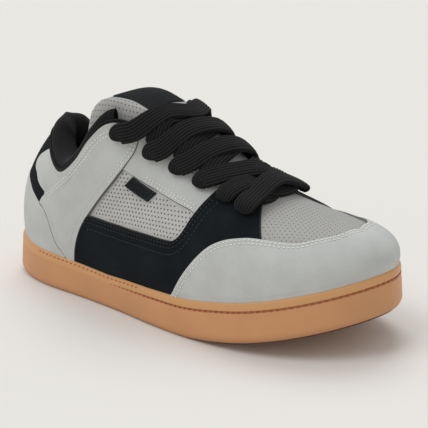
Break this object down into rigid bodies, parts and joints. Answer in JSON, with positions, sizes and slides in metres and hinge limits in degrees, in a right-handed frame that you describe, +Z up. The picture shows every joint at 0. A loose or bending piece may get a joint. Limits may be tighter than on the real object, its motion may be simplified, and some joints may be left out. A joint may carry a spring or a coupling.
{
  "type": "skateboarding shoe",
  "caption": "Right low-top skateboarding shoe with a gum cupsole, hollow suede and leather upper, padded collar and tongue, and fat flat laces.",
  "frame": {"origin": "on the floor under the middle of the shoe's box", "axes": "+X to the toe, +Y to the medial side, +Z up; the lateral side of this right shoe is on -Y"},
  "size_m": [0.3, 0.1164, 0.1385],
  "materials": {
    "gum_rubber": "matt moulded gum rubber",
    "footbed": "black knit over foam",
    "perforated_leather": "pale grey leather with small punched holes",
    "grey_suede": "light grey suede, matt nap",
    "black_suede": "black suede, matt nap",
    "black_textile": "black ribbed textile",
    "black_lining": "smooth black lining over foam",
    "woven_label": "black woven label, bare",
    "black_lace": "flat ribbed braid"
  },
  "bodies": {
    "root": {"outsole": "gum_rubber", "insole": "footbed", "upper": "perforated_leather", "toe_cap": "grey_suede", "heel_counter": "grey_suede", "heel_patch": "black_textile", "side_panel_lateral": "black_suede", "side_panel_medial": "black_suede", "eyestay_lateral": "grey_suede", "eyestay_medial": "grey_suede", "quarter_band_lateral": "grey_suede", "quarter_band_medial": "grey_suede", "side_tag": "woven_label", "collar_pad": "black_lining", "tongue": "perforated_leather", "tongue_label": "woven_label", "laces": "black_lace"}
  },
  "joints": []
}
